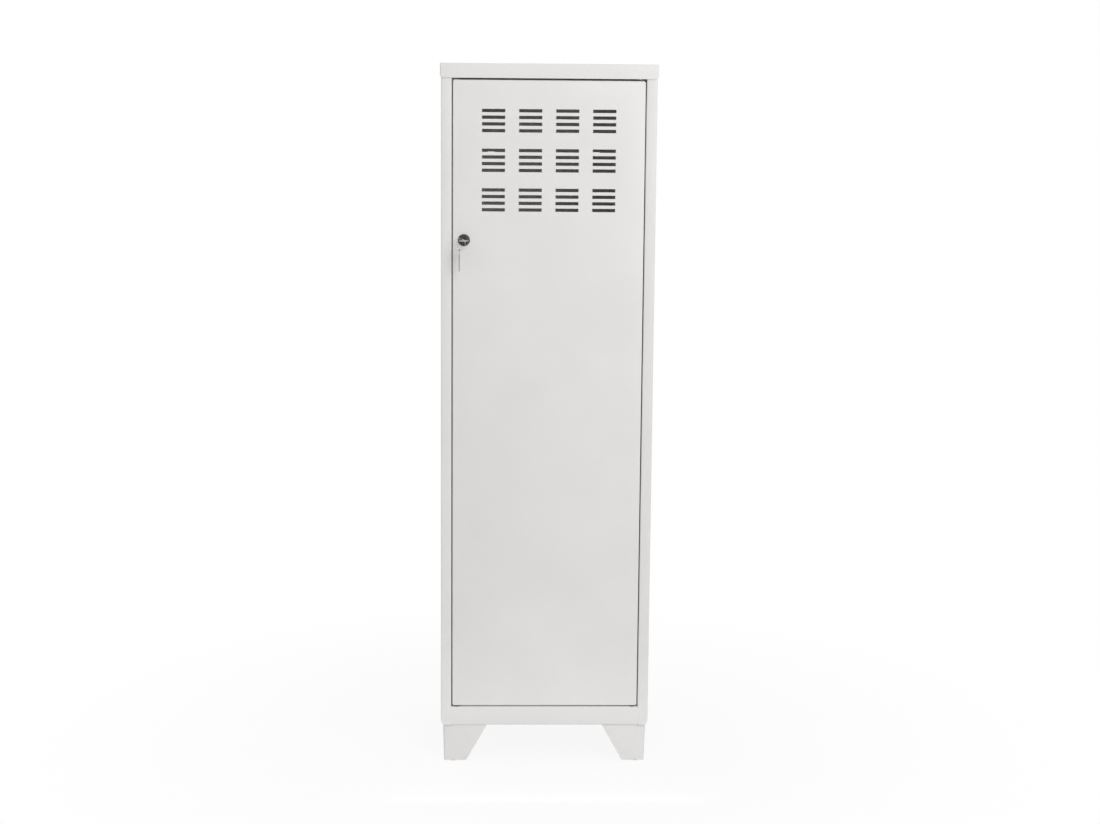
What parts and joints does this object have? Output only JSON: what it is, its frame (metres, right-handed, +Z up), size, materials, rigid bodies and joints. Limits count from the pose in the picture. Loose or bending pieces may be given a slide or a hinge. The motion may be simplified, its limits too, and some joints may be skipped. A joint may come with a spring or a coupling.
{
  "type": "single-door ventilated locker",
  "caption": "Tall narrow white sheet-steel locker on corner feet, with a slotted hinged door, keyed cam lock, inner shelf and clothes rail.",
  "frame": {"origin": "on the floor, at the middle of the outer box, which includes the hanging keys in front of the door", "axes": "+Z up, the door faces -Y, +X to the viewer's right"},
  "size_m": [0.406, 0.4306, 1.343],
  "materials": {
    "white_paint": "satin white powder coat on sheet steel",
    "grey_plastic": "dark grey moulded plastic",
    "rubber": "soft grey rubber",
    "zinc_steel": "bright zinc plated steel",
    "black_lock": "black coated lock metal, satin",
    "key_steel": "nickel plated key",
    "ring_chrome": "bright plated wire and tube"
  },
  "bodies": {
    "carcass": {"left_side": "white_paint", "right_side": "white_paint", "left_skirt": "white_paint", "right_skirt": "white_paint", "left_post": "white_paint", "right_post": "white_paint", "back_panel": "white_paint", "base_pan": "white_paint", "header_rail": "white_paint", "top_cap": "white_paint", "foot_front_left": "white_paint", "foot_front_right": "white_paint", "foot_rear_left": "white_paint", "foot_rear_right": "white_paint", "glide_front_left": "grey_plastic", "glide_front_right": "grey_plastic", "glide_rear_left": "grey_plastic", "glide_rear_right": "grey_plastic", "upper_pivot_pin": "zinc_steel", "lower_pivot_pin": "zinc_steel", "door_rest": "grey_plastic", "door_buffer_1": "rubber", "door_buffer_2": "rubber", "door_buffer_3": "rubber", "shelf": "white_paint", "shelf_clip_front_left": "zinc_steel", "shelf_clip_front_right": "zinc_steel", "shelf_clip_rear_left": "zinc_steel", "shelf_clip_rear_right": "zinc_steel", "clothes_rail": "ring_chrome", "rail_cup_left": "grey_plastic", "rail_cup_right": "grey_plastic"},
    "door": {"door_skin": "white_paint", "door_stiffener": "white_paint", "upper_pivot_bush": "grey_plastic", "lower_pivot_bush": "grey_plastic", "lock_housing": "black_lock", "lock_washer": "zinc_steel", "lock_nut": "zinc_steel"},
    "lock": {"lock_plug": "black_lock", "lock_cam": "zinc_steel", "cam_screw": "zinc_steel"},
    "key_body": {"key": "key_steel"},
    "ring": {"key_ring": "ring_chrome"},
    "spare": {"spare_key": "key_steel"}
  },
  "joints": [
    {"name": "door_hinge", "type": "hinge", "parent": "carcass", "child": "door", "pos_m": [0.17, -0.1797, 0.7], "axis": [0, 0, 1], "range_deg": [0, 110]},
    {"name": "lock_turn", "type": "hinge", "parent": "door", "child": "lock", "pos_m": [-0.158, -0.1867, 1.016], "axis": [0, -1, 0], "range_deg": [0, 90]},
    {"name": "key_pull", "type": "slide", "parent": "lock", "child": "key_body", "axis": [0, -1, 0], "range_m": [0, 0.024]},
    {"name": "ring_swing", "type": "hinge", "parent": "key_body", "child": "ring", "pos_m": [-0.158, -0.2063, 1.016], "axis": [0, 1, 0], "range_deg": [0, 80]},
    {"name": "spare_key_swing", "type": "hinge", "parent": "ring", "child": "spare", "pos_m": [-0.16637, -0.2063, 1.00841], "axis": [0, 1, 0], "range_deg": [-60, 60]}
  ]
}
